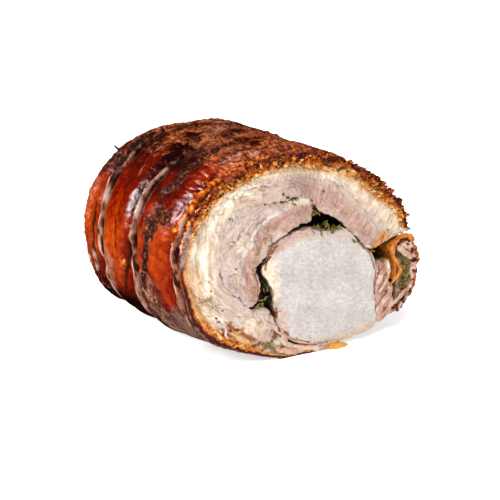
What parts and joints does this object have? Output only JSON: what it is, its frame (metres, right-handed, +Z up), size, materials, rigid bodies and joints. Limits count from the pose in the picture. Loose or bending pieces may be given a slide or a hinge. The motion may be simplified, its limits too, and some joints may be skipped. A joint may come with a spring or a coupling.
{
  "type": "porchetta",
  "caption": "Rolled and tied pork roast, cut through at one end: glossy crackled skin, belly wrapped in a spiral round a pale loin with herb stuffing in the seams.",
  "frame": {"origin": "centre of the footprint's bounding box, on the surface that the roast rests on", "axes": "+Z up; the roll lies along Y with its cut face at the front, looking along -Y, and its roasted far end towards +Y; +X is to the right as the cut face is seen"},
  "size_m": [0.1784, 0.1506, 0.1284],
  "materials": {
    "roasted_skin": "roasted pork skin, glossy and crackled, orange-red to near black; golden crumbly crust, fat and meat at the cut",
    "belly_meat": "cooked belly, moist: pinkish-grey meat with pale fat bands",
    "loin_meat": "cooked loin, fine-grained and nearly white, moist",
    "seam_meat": "cooked pinkish-brown meat strips, moist",
    "orange_rind": "translucent orange strip of skin, glossy with fat",
    "herb_stuffing": "chopped herbs and pepper, dark and damp"
  },
  "bodies": {
    "root": {"belly_wrap": "roasted_skin", "belly_end": "roasted_skin", "belly_turn": "belly_meat", "loin": "loin_meat", "seam_meat": "seam_meat", "rind_strip": "orange_rind", "stuffing_top": "herb_stuffing", "stuffing_left": "herb_stuffing", "stuffing_right": "herb_stuffing"}
  },
  "joints": []
}
